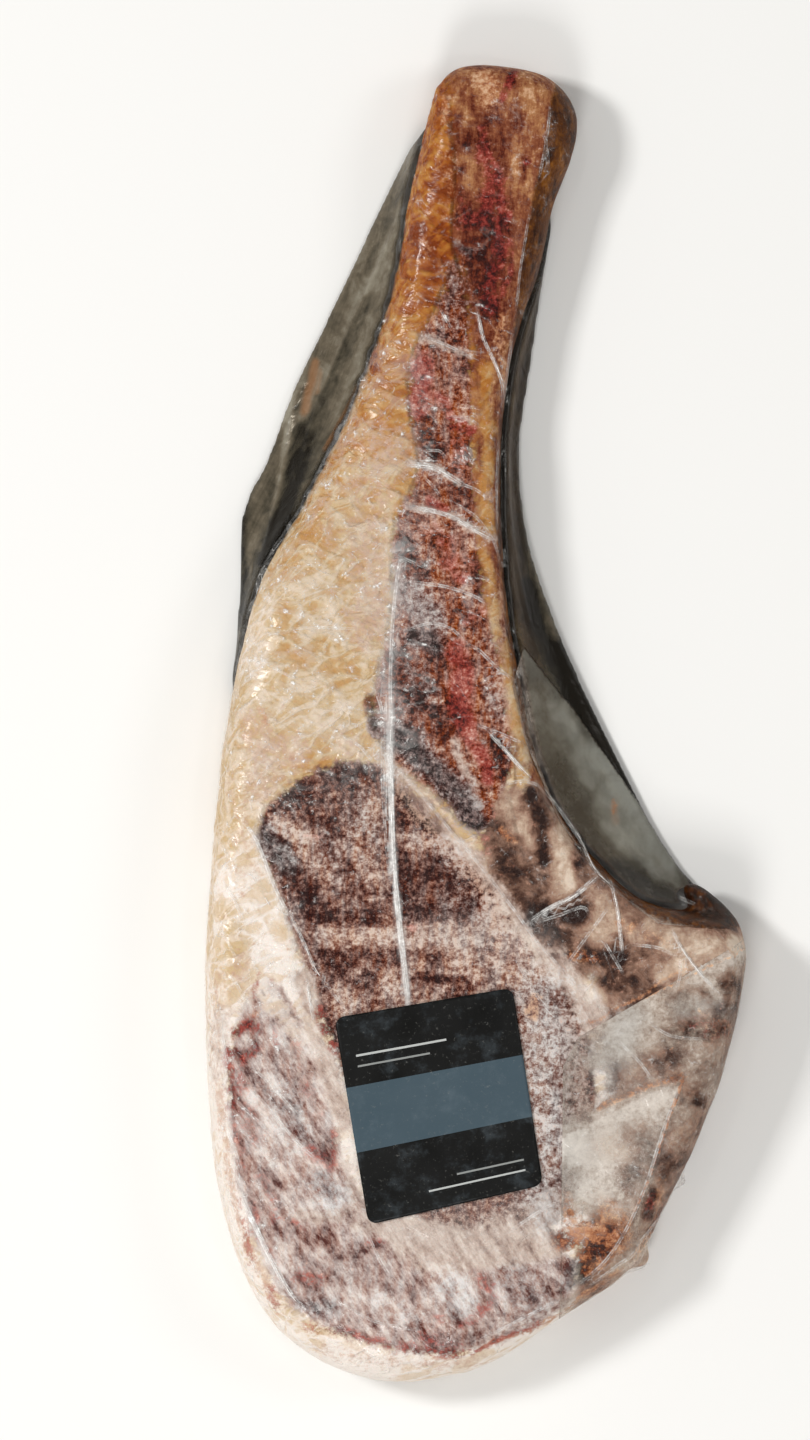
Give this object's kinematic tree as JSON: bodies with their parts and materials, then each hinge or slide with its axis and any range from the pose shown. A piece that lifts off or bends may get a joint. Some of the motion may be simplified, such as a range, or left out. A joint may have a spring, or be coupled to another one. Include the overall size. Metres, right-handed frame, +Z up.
{
  "type": "raw tomahawk steak in a vacuum bag",
  "caption": "Raw tomahawk rib steak on its long rib, with fat, eye and cap, lying flat in a clear clinging vacuum bag with a bone guard sheet and a plain dark label",
  "frame": {"origin": "the middle of the underside, on the surface that the pack lies on", "axes": "+Y along the steak towards the sawn end of the long rib, +X to the right seen from above, +Z up out of the shown cut face"},
  "size_m": [0.1818, 0.4394, 0.0398],
  "materials": {
    "fat": "raw beef fat, cream to tan, smooth and slightly wet under clear film",
    "muscle": "raw marbled beef, plum brown with pale frosted marbling, under clear film",
    "rib_meat": "raw lean meat between the ribs, dark red to purple, under clear film",
    "bone": "rib bone with its dried tan skin, sawn red marrow at the top",
    "chine": "backbone end with meat and gristle, brown and grey beige",
    "guard": "translucent waxed sheet, pale grey green",
    "film": "clear vacuum film, glossy, creased, smoky where it spans free",
    "label": "satin black sticker with a slate blue band"
  },
  "bodies": {
    "root": {"fat_cover": "fat", "eye_muscle": "muscle", "cap_muscle": "muscle", "rib_meat": "rib_meat", "rib_bone": "bone", "chine_bone": "chine", "bone_guard": "guard", "vacuum_bag": "film", "label": "label"}
  },
  "joints": []
}
